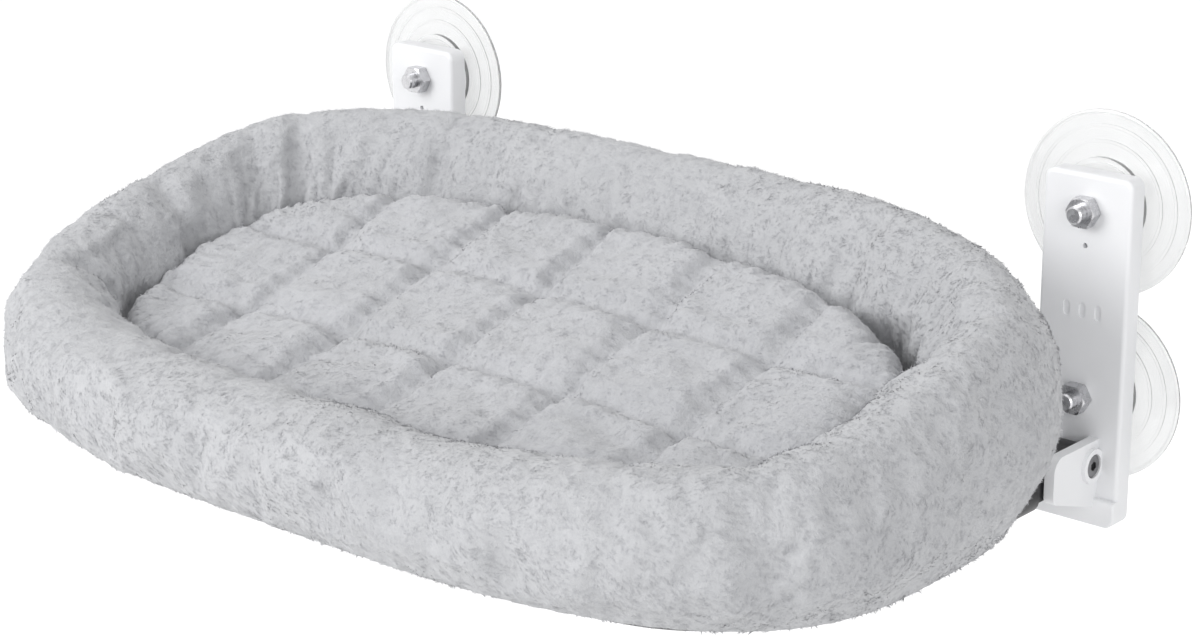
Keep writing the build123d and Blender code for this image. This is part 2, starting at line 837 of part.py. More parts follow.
# Straps: down from the base cloth, under the tube and back up to the sling's underside
strap_inner = sleeve_outer + cloth_clearance
strap_outer = strap_inner + strap_cloth
leg_top = base_z - tube_z
flap_top = sleeve_inner - strap_clearance
strap_planes = [
    across_tube(arm_x, -side_sleeve_middle, 0),
    across_tube(-arm_x, -side_sleeve_middle, 180),
    across_tube(strap_from_middle, -front_tube_depth, -90),
    across_tube(-strap_from_middle, -front_tube_depth, -90),
    across_tube(strap_from_middle, -cross_tube_depth, 90),
    across_tube(-strap_from_middle, -cross_tube_depth, 90),
]
with BuildPart() as tie_straps:
    for plane in strap_planes:
        with BuildSketch(plane):
            Circle(strap_outer)
            Circle(strap_inner, mode=Mode.SUBTRACT)
            Rectangle(
                3 * strap_outer, 2 * strap_outer, align=(Align.CENTER, Align.MIN), mode=Mode.SUBTRACT
            )
            with Locations((strap_inner, 0)):
                Rectangle(strap_cloth, leg_top, align=(Align.MIN, Align.MIN))
            with Locations((-strap_outer, 0)):
                Rectangle(strap_cloth, flap_top, align=(Align.MIN, Align.MIN))
            with Locations((-strap_inner, flap_top)):
                Rectangle(strap_flap, strap_cloth, align=(Align.MAX, Align.MAX))
        extrude(amount=strap_width / 2, both=True)
save(tie_straps, "tie_straps")
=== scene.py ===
import json
import math

import bpy
import numpy as np
from mathutils import Matrix, Vector, noise


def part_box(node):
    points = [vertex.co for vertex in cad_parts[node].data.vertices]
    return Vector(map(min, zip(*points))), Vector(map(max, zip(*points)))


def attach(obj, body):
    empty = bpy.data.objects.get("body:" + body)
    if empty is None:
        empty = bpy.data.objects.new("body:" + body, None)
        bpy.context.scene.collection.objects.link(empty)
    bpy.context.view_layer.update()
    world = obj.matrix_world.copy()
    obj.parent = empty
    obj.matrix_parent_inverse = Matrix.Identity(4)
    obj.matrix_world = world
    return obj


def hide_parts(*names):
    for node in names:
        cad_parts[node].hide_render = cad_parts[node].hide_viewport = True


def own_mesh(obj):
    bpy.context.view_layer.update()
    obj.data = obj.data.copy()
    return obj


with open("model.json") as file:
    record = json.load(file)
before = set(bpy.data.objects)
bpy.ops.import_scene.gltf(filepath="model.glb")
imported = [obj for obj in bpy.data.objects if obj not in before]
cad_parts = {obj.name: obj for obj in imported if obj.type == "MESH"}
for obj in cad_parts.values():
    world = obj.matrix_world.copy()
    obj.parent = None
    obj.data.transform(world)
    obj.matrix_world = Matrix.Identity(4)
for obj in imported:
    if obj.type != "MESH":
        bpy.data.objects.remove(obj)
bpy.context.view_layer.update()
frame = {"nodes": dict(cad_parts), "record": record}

MM = 0.001
WHITE = (1, 1, 1, 1)

# Sizes of the nest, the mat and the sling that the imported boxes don't give
WALL_WIDTH = 62 * MM
WALL_FRONT_HEIGHT = 58 * MM
WALL_SINK_SHARE = 0.03
NEST_SQUARENESS = 2.98
MAT_FRONT_HEIGHT = 31 * MM
MAT_BACK_HEIGHT = 83 * MM
MAT_CROWN = 8 * MM
CHANNEL_LENGTH_SHARES = (-0.66, -0.33, 0, 0.33, 0.66)
CHANNEL_WIDTH_SHARES = (-0.33, 0.33)
BASE_PAST_MIDDLE = 6 * MM
TUBE_RADIUS = 6 * MM
SLEEVE_GAP = 9 * MM
CROSS_SOCKET_REACH = 20 * MM
FRONT_CORNER_RADIUS = 75 * MM
FRONT_SLEEVE_INNER = 32 * MM
NOTCH_DEPTH = 18 * MM
SLEEVE_TAB = 18 * MM
STRAP_WIDTH = 22 * MM
STRAP_FLAP = 24 * MM
STRAP_FLAP_DROP = 0.45 * MM
STRAP_FROM_TUBE = 2.4 * MM
STRAP_FROM_MIDDLE = 90 * MM

# Thickness of the cloths
SLING_CLOTH = 0.8 * MM
SLEEVE_CLOTH = 0.9 * MM
BASE_CLOTH = 1.0 * MM
STRAP_CLOTH = 1.0 * MM

# The wall's cover: its divisions round the nest and round its section, and how far inside the
# finished wall it lies before it is stuffed
WALL_ROWS = 300
WALL_COLUMNS = 66
WALL_INSET = 2.5 * MM
# The mat's cover: the size of its faces, and how far inside the finished mat it starts
MAT_FACE = 4.5 * MM
MAT_INSET = 2.0 * MM

# Creases across the wall: place along the nest's line from its right end, width and depth
WALL_CREASES = (
    (0.045, 5 * MM, 3.5 * MM),
    (0.135, 6 * MM, 4.0 * MM),
    (0.43, 6 * MM, 4.5 * MM),
    (0.50, 5 * MM, 4.0 * MM),
    (0.565, 6 * MM, 4.5 * MM),
    (0.93, 6 * MM, 3.0 * MM),
)
# The wall's small pleats, broad folds and fine wrinkles: how far apart and how deep they are
PLEAT_PITCH, PLEAT_DEPTH = 11 * MM, 1.5 * MM
FOLD_PITCH, FOLD_DEPTH = 43 * MM, 2.4 * MM
WRINKLE_PITCH, WRINKLE_DEPTH = 15 * MM, 1.5 * MM
# Places along the nest's line: its two ends, which are drawn in, and its plump left back
NEST_ENDS = (0, 0.5)
END_DRAWN_IN = 3.2 * MM
PLUMP_PLACE = 0.43
PLUMP_RISE = 5.0 * MM
# The mat's channels, their crossings, the puckers beside them, and the stitches themselves
CHANNEL_REACH, CHANNEL_DEPTH = 4.2 * MM, 3.6 * MM
CROSSING_REACH, CROSSING_DEPTH = 9 * MM, 4.0 * MM
PUCKER_PITCH, PUCKER_REACH, PUCKER_HEIGHT = 10 * MM, 13 * MM, 0.6 * MM
STITCH_REACH = 3.2 * MM
# The mat's rim, shorter than the nest's line, rippled and swollen against the wall
RIM_LENGTH_SHARE = 0.82
RIM_REACH, RIM_RIPPLE, RIM_SWELL = 24 * MM, 0.9 * MM, 4.0 * MM
# Where along the nest's line the mat stands off the wall, and how far
MAT_GAP_PLACE, MAT_GAP = 0.085, 5 * MM
# Uneven stuffing: size of the lumps, their height and the seed of their noise
WALL_LUMPS = ((75 * MM, 2.4 * MM, 3), (26 * MM, 0.9 * MM, 4), (9 * MM, 0.45 * MM, 5))
MAT_LUMPS = ((48 * MM, 1.6 * MM, 7), (8 * MM, 0.4 * MM, 8))
# Outer foot of the wall, which hangs past the base cloth, and a little more in front
FOOT_HANG = 2.6 * MM
FRONT_FOOT_HANG = 1.0 * MM

# Pile
WALL_BLADES = 110000
MAT_BLADES = 46000
BLADE_ROOT_DEPTH = 0.5 * MM
BLADE_BELOW_FOOT = 1.0 * MM
TUFT_SIZE = 7 * MM
BRUSHED_SIZE = 60 * MM
# Without a seed the noise that the tufts follow would differ in each run
TUFT_SEED = 1
noise.seed_set(TUFT_SEED)

# Points along the nest's line from which places on it are read
LINE_STEPS = 1440
# Points that are compared with that line at a time
BATCH = 4000

wall_low, wall_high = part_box("plush_wall")
mat_low, mat_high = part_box("seat_mat")
base_low, base_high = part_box("nest_base_cloth")
panel_low, panel_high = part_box("sling_panel")
tube_low, tube_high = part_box("rear_cross_tube")
arm_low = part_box("right_hinge_arm")[0]
NEST_Z = wall_low[2]
MID_Y = (wall_low[1] + wall_high[1]) / 2
HALF_LENGTH = (wall_high[0] - wall_low[0] - WALL_WIDTH) / 2
HALF_WIDTH = (wall_high[1] - wall_low[1] - WALL_WIDTH) / 2
WALL_BACK_HEIGHT = wall_high[2] - NEST_Z
MAT_HALF_LENGTH = (mat_high[0] - mat_low[0]) / 2
MAT_HALF_WIDTH = (mat_high[1] - mat_low[1]) / 2
TUBE_Z = (tube_low[2] + tube_high[2]) / 2
REAR_Y = panel_high[1]
FRONT_Y = panel_low[1]
SIDE_X = panel_high[0]
REAR_HALF = SIDE_X - CROSS_SOCKET_REACH - SLEEVE_GAP
FRONT_OUTER = SIDE_X - FRONT_CORNER_RADIUS - SLEEVE_GAP
SIDE_NEAR_Y = arm_low[1] - SLEEVE_GAP
SIDE_FAR_Y = FRONT_Y + FRONT_CORNER_RADIUS + SLEEVE_GAP


# Shader maths


class Tree:
    """The nodes of a material or of the world."""

    def __init__(self, owner):
        owner.use_nodes = True
        self.nodes = owner.node_tree.nodes
        self.links = owner.node_tree.links

    def node(self, kind, inputs=(), **settings):
        """A new node: first its settings, then the values or links of its sockets."""
        made = self.nodes.new(kind)
        for key, value in settings.items():
            setattr(made, key, value)
        for key, value in dict(inputs).items():
            self.feed(made.inputs[key], value)
        return made

    def feed(self, socket, value):
        if isinstance(value, Wire):
            value = value.socket
        if isinstance(value, bpy.types.NodeSocket):
            self.links.new(value, socket)
        else:
            socket.default_value = value

    def rays(self, *kinds):
        """1 for rays of these kinds and 0 for the rest."""
        path = self.node("ShaderNodeLightPath").outputs
        seen = Wire(self, path[kinds[0]])
        for kind in kinds[1:]:
            seen = seen.maths("MAXIMUM", path[kind])
        return seen


class Finish(Tree):
    """The nodes of one material, with its shader and the place on the object."""

    def __init__(self, name):
        self.material = bpy.data.materials.new(name)
        super().__init__(self.material)
        self.shader = self.nodes["Principled BSDF"]
        self.place = self.node("ShaderNodeTexCoord").outputs["Object"]

    def noise(self, scale, detail=3.0, roughness=0.55):
        """Noise from 0 to 1, with that many lumps in a metre."""
        made = self.node(
            "ShaderNodeTexNoise",
            {"Vector": self.place, "Scale": scale, "Detail": detail, "Roughness": roughness},
        )
        return Wire(self, made.outputs["Fac"])

    def colour(self, amount, dark, light):
        made = self.node(
            "ShaderNodeMix", {"Factor": amount, 6: (*dark, 1), 7: (*light, 1)}, data_type="RGBA"
        )
        return made.outputs[2]

    def bump(self, height, distance, strength=1.0):
        made = self.node(
            "ShaderNodeBump", {"Height": height, "Distance": distance, "Strength": strength}
        )
        self.feed(self.shader.inputs["Normal"], made.outputs["Normal"])

    def set(self, **values):
        for key, value in values.items():
            self.feed(self.shader.inputs[key.replace("_", " ")], value)
        return self.material


class Wire:
    """A number that varies over a surface, and that adds, takes away and multiplies."""

    def __init__(self, tree, socket):
        self.tree = tree
        self.socket = socket

    def maths(self, operation, *others):
        made = self.tree.node("ShaderNodeMath", operation=operation)
        for socket, value in zip(made.inputs, (self, *others)):
            self.tree.feed(socket, value)
        return Wire(self.tree, made.outputs[0])

    def __add__(self, other):
        return self.maths("ADD", other)

    def __sub__(self, other):
        return self.maths("SUBTRACT", other)

    def __rsub__(self, other):
        return (self * -1) + other

    def __mul__(self, other):
        return self.maths("MULTIPLY", other)

    __radd__ = __add__
    __rmul__ = __mul__

    def ramp(self, low, high):
        """0 below low, 1 above high, and even between them."""
        made = self.tree.node(
            "ShaderNodeMapRange", {"Value": self, "From Min": low, "From Max": high}
        )
        return Wire(self.tree, made.outputs["Result"])


# Finishes


def plush(name, dark, light):
    """Ground of the plush: soft clumps over broad brushed patches, with fine fibres."""
    finish = Finish(name)
    brushed = finish.noise(22, 2).ramp(0.35, 0.65)
    clumps = finish.noise(190, 4, 0.6).ramp(0.25, 0.75)
    fibres = finish.noise(1100, 2, 0.6)
    tone = brushed * 0.3 + clumps * 0.4 + fibres * 0.3
    finish.bump(clumps * 0.7 + fibres * 0.3, 0.9 * MM)
    return finish.set(
        Base_Color=finish.colour(tone, dark, light),
        Roughness=0.95,
        Sheen_Weight=0.35,
        Sheen_Roughness=0.55,
        Specular_IOR_Level=0.15,
    )


def fibre(name, colour):
    """The loose ends of the pile."""
    return Finish(name).set(
        Base_Color=(*colour, 1),
        Roughness=0.9,
        Sheen_Weight=0.3,
        Sheen_Roughness=0.5,
        Specular_IOR_Level=0.2,
    )


def woven(name, dark, light, pitch):
    """A plain weave with a little fluff; the weave runs along X and Y."""
    finish = Finish(name)
    split = finish.node("ShaderNodeSeparateXYZ", {"Vector": finish.place})
    turns = 2 * math.pi / pitch
    warp = (Wire(finish, split.outputs["X"]) * turns).maths("SINE")
    weft = (Wire(finish, split.outputs["Y"]) * turns).maths("SINE")
    weave = warp * weft * 0.5 + 0.5
    wear = finish.noise(60, 3)
    finish.bump(weave, 0.25 * MM, 0.6)
    return finish.set(
        Base_Color=finish.colour(weave * 0.6 + wear * 0.4, dark, light),
        Roughness=0.9,
        Sheen_Weight=0.2,
    )


def moulded(name, dark, light, roughness):
    """Moulded plastic or paint: fine texture, faint unevenness of colour and gloss."""
    finish = Finish(name)
    broad = finish.noise(35, 3)
    grain = finish.noise(1400, 2)
    finish.bump(grain, 0.03 * MM, 0.5)
    return finish.set(
        Base_Color=finish.colour(broad, dark, light),
        Roughness=(broad - 0.5) * 0.12 + roughness,
    )


def plated(name, dark, light, roughness):
    """Plated steel with small scratches and patches of duller metal."""
    finish = Finish(name)
    patches = finish.noise(260, 4)
    scratches = finish.noise(1800, 2)
    finish.bump(scratches, 0.02 * MM, 0.4)
    return finish.set(
        Base_Color=finish.colour(patches, dark, light),
        Roughness=(patches - 0.5) * 0.25 + roughness,
        Metallic=1.0,
    )


def clear_pvc(name):
    """Clear soft PVC, faintly cloudy."""
    finish = Finish(name)
    cloud = finish.noise(120, 3)
    return finish.set(
        Base_Color=finish.colour(cloud, (0.92, 0.925, 0.93), (0.96, 0.965, 0.965)),
        Roughness=cloud * 0.08 + 0.06,
        IOR=1.48,
        Transmission_Weight=0.82,
    )


wall_plush = plush("wall_plush_ground", (0.40, 0.405, 0.42), (0.49, 0.495, 0.51))
mat_plush = plush("mat_plush_ground", (0.40, 0.405, 0.42), (0.49, 0.495, 0.515))
wall_fibre = fibre("wall_plush_fibre", (0.45, 0.455, 0.475))
mat_fibre = fibre("mat_plush_fibre", (0.45, 0.455, 0.48))
sling_weave = woven("sling_weave", (0.018, 0.018, 0.02), (0.05, 0.05, 0.054), 1.6 * MM)
base_weave = woven("base_weave", (0.28, 0.28, 0.29), (0.42, 0.42, 0.43), 1.4 * MM)
strap_weave = woven("strap_weave", (0.015, 0.015, 0.017), (0.045, 0.045, 0.048), 1.2 * MM)
NODE_MATERIALS = {
    "bracket_plastic": moulded(
        "bracket_plastic_satin", (0.74, 0.745, 0.76), (0.80, 0.805, 0.82), 0.42
    ),
    "cup_pvc": clear_pvc("cup_clear_pvc"),
    "bright_steel": plated("bright_zinc_plate", (0.42, 0.42, 0.43), (0.72, 0.72, 0.74), 0.28),
    "dark_steel": plated("grey_oxide_steel", (0.16, 0.16, 0.165), (0.34, 0.34, 0.35), 0.36),
    "tube_paint": moulded(
        "black_powder_coat", (0.012, 0.012, 0.013), (0.028, 0.028, 0.03), 0.38
    ),
    "bush_nylon": moulded("natural_nylon", (0.70, 0.69, 0.65), (0.82, 0.81, 0.78), 0.5),
}

slots = {s["node"]: s["material_slot"] for s in frame["record"]["subparts"]}
for node, obj in frame["nodes"].items():
    material = NODE_MATERIALS.get(slots[node])
    if material:
        obj.data.materials.clear()
        obj.data.materials.append(material)


# Lines of the nest


def nest_points(turns, outward):
    """Points of the nest's oval, moved outward from it, and the outward directions there."""
    across, along = np.cos(turns), np.sin(turns)
    power = 2 / NEST_SQUARENESS
    x = HALF_LENGTH * np.sign(across) * np.abs(across) ** power
    y = HALF_WIDTH * np.sign(along) * np.abs(along) ** power
    nx = np.sign(across) * np.abs(across) ** (2 - power) / HALF_LENGTH
    ny = np.sign(along) * np.abs(along) ** (2 - power) / HALF_WIDTH
    steep = np.hypot(nx, ny)
    nx, ny = nx / steep, ny / steep
    return x + nx * outward, y + MID_Y + ny * outward, nx, ny


def even_turns(count):
    """Turns that are evenly spaced along the nest's oval, and its length."""
    fine = np.linspace(0, 2 * np.pi, 7201) + 1e-5
    x, y, _, _ = nest_points(fine, 0)
    run = np.concatenate([[0], np.cumsum(np.hypot(np.diff(x), np.diff(y)))])
    return np.interp(np.linspace(0, run[-1], count, endpoint=False), run, fine), run[-1]


def nearest(points, x, y):
    """Which point of a line is nearest to each point, seen from above, and how far it is."""
    index = np.empty(len(points), int)
    gap = np.empty(len(points))
    for first in range(0, len(points), BATCH):
        part = points[first : first + BATCH]
        far = (part[:, 0, None] - x) ** 2 + (part[:, 1, None] - y) ** 2
        index[first : first + BATCH] = far.argmin(axis=1)
        gap[first : first + BATCH] = np.sqrt(far.min(axis=1))
    return index, gap


def wall_places(points):
    """How far round the nest each point lies, the nest's length, and how far outward it is."""
    turns, length = even_turns(LINE_STEPS)
    x, y, nx, ny = nest_points(turns, 0)
    index, _ = nearest(points, x, y)
    out = (points[:, 0] - x[index]) * nx[index] + (points[:, 1] - y[index]) * ny[index]
    return index / LINE_STEPS * length, length, out


def wall_height(y):
    share = (y - MID_Y + HALF_WIDTH) / (2 * HALF_WIDTH)
    return WALL_FRONT_HEIGHT + (WALL_BACK_HEIGHT - WALL_FRONT_HEIGHT) * share


def mat_top(x, y):
    """Height of the mat's crowned top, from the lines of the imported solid."""
    across = (y - MID_Y) / MAT_HALF_WIDTH
    slope = MAT_FRONT_HEIGHT + (MAT_BACK_HEIGHT - MAT_FRONT_HEIGHT) * (across + 1) / 2
    return NEST_Z + slope + MAT_CROWN * (1 - (x / MAT_HALF_LENGTH) ** 2)


# Masks and noise


def lumps(points, size, seed):
    """Smooth noise from about -1 to 1 at each point, with lumps of that size."""
    shift = Vector((seed * 7.3, seed * 3.1, seed * 5.7))
    return np.array([noise.noise(Vector(p) / size + shift) for p in points])


def lump_layers(points, layers):
    return sum(lumps(points, size, seed) * height for size, height, seed in layers)


def ease(value, low, high):
    """0 below low, 1 above high, and smooth between them."""
    share = np.clip((value - low) / (high - low), 0, 1)
    return share * share * (3 - 2 * share)


def hill(value, width):
    """1 where the value is 0, fading within the width."""
    return np.exp(-((value / width) ** 2))


def near(run, place, length, width):
    """1 at a place along the nest's closed line, fading within the width."""
    return hill((run - place * length + length / 2) % length - length / 2, width)


def ridges(run, pitch):
    """0 to 1, with a sharp crest once in each pitch."""
    return 1 - np.abs(np.sin(np.pi * run / pitch))


def waves(run, pitch):
    return np.sin(2 * np.pi * run / pitch)


# Meshes


def mesh_piece(name, points, faces, material, body="bed"):
    mesh = bpy.data.meshes.new(name)
    mesh.from_pydata([tuple(p) for p in points], [], faces)
    mesh.validate()
    mesh.shade_smooth()
    mesh.materials.append(material)
    obj = bpy.data.objects.new(name, mesh)
    bpy.context.scene.collection.objects.link(obj)
    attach(obj, body)
    return obj


def ring_faces(rows, columns):
    """Quads over a grid that closes on itself both ways."""
    faces = []
    for i in range(rows):
        for j in range(columns):
            a, b = i * columns + j, i * columns + (j + 1) % columns
            c, d = (i + 1) % rows * columns + (j + 1) % columns, (i + 1) % rows * columns + j
            faces.append((a, d, c, b))
    return faces


def strip_faces(rows, columns):
    """Quads over an open grid."""
    return [
        (i * columns + j, i * columns + j + 1, (i + 1) * columns + j + 1, (i + 1) * columns + j)
        for i in range(rows - 1)
        for j in range(columns - 1)
    ]


def read_vertices(mesh, what):
    flat = np.empty(len(mesh.vertices) * 3)
    mesh.vertices.foreach_get(what, flat)
    return flat.reshape(-1, 3)


def write_points(mesh, points):
    mesh.vertices.foreach_set("co", points.reshape(-1))
    mesh.update()


def bake(piece):
    """Puts what the modifiers make into the piece's own mesh, and takes them off."""
    shape = piece.evaluated_get(bpy.context.evaluated_depsgraph_get())
    mesh = bpy.data.meshes.new_from_object(shape)
    piece.modifiers.clear()
    piece.data = mesh
    mesh.shade_smooth()


def finer(piece):
    piece.modifiers.new("finer", "SUBSURF").levels = 1
    bake(piece)


def stuff(piece, held, pressure, spare, cap):
    """Swells a cover like stuffed cloth with some spare cloth; held points stay put."""
    steps = 20
    start = read_vertices(piece.data, "co").copy()
    group = piece.vertex_groups.new(name="held")
    for index, weight in enumerate(held):
        group.add([index], float(weight), "REPLACE")
    cloth = piece.modifiers.new("cloth", "CLOTH")
    settings = cloth.settings
    settings.quality = 6
    settings.mass = 0.15
    settings.tension_stiffness = 12
    settings.compression_stiffness = 12
    settings.bending_stiffness = 0.3
    settings.use_pressure = True
    settings.uniform_pressure_force = pressure
    settings.shrink_min = -spare
    settings.effector_weights.gravity = 0
    settings.vertex_group_mass = "held"
    cloth.point_cache.frame_start = 1
    cloth.point_cache.frame_end = steps
    for step in range(1, steps + 1):
        bpy.context.scene.frame_set(step)
    shape = piece.evaluated_get(bpy.context.evaluated_depsgraph_get())
    move = read_vertices(shape.data, "co") - start
    far = np.linalg.norm(move, axis=1, keepdims=True)
    piece.modifiers.clear()
    piece.vertex_groups.clear()
    bpy.context.scene.frame_set(1)
    write_points(piece.data, start + move * np.minimum(1, cap / np.maximum(far, 1e-9)))


# The wall


def wall_tube():
    """The unstuffed cover, low in front and high behind, and the turn of each point round it."""
    x, y, nx, ny = nest_points(even_turns(WALL_ROWS)[0], 0)
    height = wall_height(y)
    tall = height * (1 + WALL_SINK_SHARE) / 2
    centre = NEST_Z + height - tall
    turn = np.linspace(0, 2 * np.pi, WALL_COLUMNS, endpoint=False)
    out = (WALL_WIDTH / 2 - WALL_INSET) * np.cos(turn)
    px = x[:, None] + nx[:, None] * out[None, :]
    py = y[:, None] + ny[:, None] * out[None, :]
    pz = centre[:, None] + (tall[:, None] - WALL_INSET) * np.sin(turn)[None, :]
    pz = np.maximum(pz, NEST_Z)
    points = np.stack([px, py, pz], -1).reshape(-1, 3)
    wall = mesh_piece("wall_cover", points, ring_faces(WALL_ROWS, WALL_COLUMNS), wall_plush)
    return wall, np.tile(turn, WALL_ROWS)


def wall_sink(points, run, length, level, share_out):
    """How deep the pleats, folds, wrinkles and creases are at each point of the wall."""
    wander = lumps(points, 45 * MM, 1) * 9 * MM
    calm = 0.5 + 0.5 * lumps(points, 90 * MM, 2)
    inner = ease(-share_out, 0.1, 0.8) * ease(level, 0.15, 0.4) * ease(level, 1.0, 0.72)
    over = ease(-share_out, -0.75, 0.3) * ease(level, 0.3, 0.6)
    inside = ease(-share_out, -0.25, 0.45) * ease(level, 0.25, 0.5)
    pleats = ridges(run + wander, PLEAT_PITCH)
    folds = ridges(run + 2.2 * wander, FOLD_PITCH)
    wrinkles = ridges(run + 1.4 * wander, WRINKLE_PITCH)
    at_right_end = near(run, 0.02, length, 130 * MM)
    sink = PLEAT_DEPTH * inner * pleats**2 * (0.5 + calm)
    sink += FOLD_DEPTH * over * folds**3 * (0.3 + calm)
    sink += WRINKLE_DEPTH * over * wrinkles**2 * at_right_end * (0.4 + calm)
    for place, width, depth in WALL_CREASES:
        sink += depth * near(run + wander * 0.5, place, length, width) * inside
    for end in NEST_ENDS:
        sink += END_DRAWN_IN * near(run, end, length, 80 * MM) * ease(share_out, 0.1, 0.8)
    return sink


def make_wall():
    """The stuffed wall: held at its hidden seam, its foot and its crest while it is stuffed."""
    wall, turn = wall_tube()
    seam = hill(turn - 1.12 * np.pi, 0.10)
    foot = ease(np.sin(turn), -0.80, -0.93)
    crest = 0.9 * hill(turn - 0.5 * np.pi, 0.45)
    stuff(wall, np.maximum.reduce([seam, foot, crest]), 2.0, 0.05, 4 * MM)
    finer(wall)

    points = read_vertices(wall.data, "co")
    normals = read_vertices(wall.data, "normal")
    run, length, out = wall_places(points)
    level = (points[:, 2] - NEST_Z) / wall_height(points[:, 1])
    sink = wall_sink(points, run, length, level, out / (WALL_WIDTH / 2))
    swell = lump_layers(points, WALL_LUMPS) * ease(level, 0.02, 0.15)
    points += normals * (swell - sink)[:, None]
    plump = near(run, PLUMP_PLACE, length, 100 * MM) * ease(level, 0.35, 0.95)
    points[:, 2] += PLUMP_RISE * plump
    points[:, 2] = np.maximum(points[:, 2], NEST_Z)
    hang = ease(out, 6 * MM, 10 * MM) * ease(level, 0.16, 0.0)
    in_front = ease(-points[:, 1], 180 * MM, 250 * MM)
    points[:, 2] -= (FOOT_HANG + FRONT_FOOT_HANG * in_front) * hang
    write_points(wall.data, points)
    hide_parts("plush_wall")
    return wall


# The mat


def channel_gaps(points):
    """How far each point is from the nearest channel across, and from the nearest along."""
    lines_x = np.array(CHANNEL_LENGTH_SHARES) * MAT_HALF_LENGTH
    lines_y = MID_Y + np.array(CHANNEL_WIDTH_SHARES) * MAT_HALF_WIDTH
    gap_x = np.abs(points[:, 0, None] - lines_x).min(axis=1)
    gap_y = np.abs(points[:, 1, None] - lines_y).min(axis=1)
    return gap_x, gap_y


def mat_quilting(points, normals, wander):
    """How far the mat's top moves at its sewn channels and at the puckers beside them."""
    gap_x, gap_y = channel_gaps(points)
    puckers = waves(points[:, 1] + wander, PUCKER_PITCH) * hill(gap_x, PUCKER_REACH)
    puckers += waves(points[:, 0] + wander, PUCKER_PITCH) * hill(gap_y, PUCKER_REACH)
    channels = hill(np.minimum(gap_x, gap_y), CHANNEL_REACH)
    crossings = hill(np.hypot(gap_x, gap_y), CROSSING_REACH)
    move = PUCKER_HEIGHT * puckers - CHANNEL_DEPTH * channels - CROSSING_DEPTH * crossings
    return move * ease(normals[:, 2], 0.2, 0.75)


def make_mat():
    """The quilted mat: sewn down along its channels while it is stuffed."""
    mesh = frame["nodes"]["seat_mat"].data.copy()
    mat = bpy.data.objects.new("mat_cover", mesh)
    bpy.context.scene.collection.objects.link(mat)
    mesh.materials.clear()
    mesh.materials.append(mat_plush)
    remesh = mat.modifiers.new("even", "REMESH")
    remesh.mode = "VOXEL"
    remesh.voxel_size = MAT_FACE
    bake(mat)
    points = read_vertices(mat.data, "co")
    points -= read_vertices(mat.data, "normal") * MAT_INSET
    write_points(mat.data, points)

    gap_x, gap_y = channel_gaps(points)
    on_top = points[:, 2] > mat_top(points[:, 0], points[:, 1]) - 9 * MM
    sewn = (np.minimum(gap_x, gap_y) < STITCH_REACH) & on_top
    foot = points[:, 2] < NEST_Z + 4 * MM
    stuff(mat, np.where(sewn | foot, 1.0, 0.0), 2.0, 0.03, 3 * MM)
    finer(mat)

    points = read_vertices(mat.data, "co")
    normals = read_vertices(mat.data, "normal")
    wander = lumps(points, 30 * MM, 6) * 5 * MM
    move = mat_quilting(points, normals, wander)
    turns, length = even_turns(LINE_STEPS)
    x, y, nx, ny = nest_points(turns, -WALL_WIDTH / 2)
    nearest_step, rim_gap = nearest(points, x, y)
    place = nearest_step / LINE_STEPS
    rim = hill(rim_gap, RIM_REACH)
    rim_length = length * RIM_LENGTH_SHARE
    move += RIM_RIPPLE * rim * waves(place * rim_length + wander, PUCKER_PITCH)
    move += RIM_SWELL * rim * ease(points[:, 2] - NEST_Z, 12 * MM, 30 * MM)
    move += lump_layers(points, MAT_LUMPS)
    points += normals * move[:, None]
    stands_off = hill(place - MAT_GAP_PLACE, 0.045) * rim
    step = (place * LINE_STEPS).astype(int)
    points[:, :2] -= (MAT_GAP * stands_off)[:, None] * np.stack([nx[step], ny[step]], -1)
    points[:, 2] = np.maximum(points[:, 2], NEST_Z)
    write_points(mat.data, points)
    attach(mat, "bed")
    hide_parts("seat_mat")
    return mat


# The pile


def behind_mat(middle, up):
    """The deep part of the wall's inner side, which the mat covers."""
    deep = mat_top(middle[:, 0], middle[:, 1]) - 30 * MM
    return (wall_places(middle)[2] < 0) & (middle[:, 2] < deep)


def under_mat(middle, up):
    return up[:, 2] < -0.25


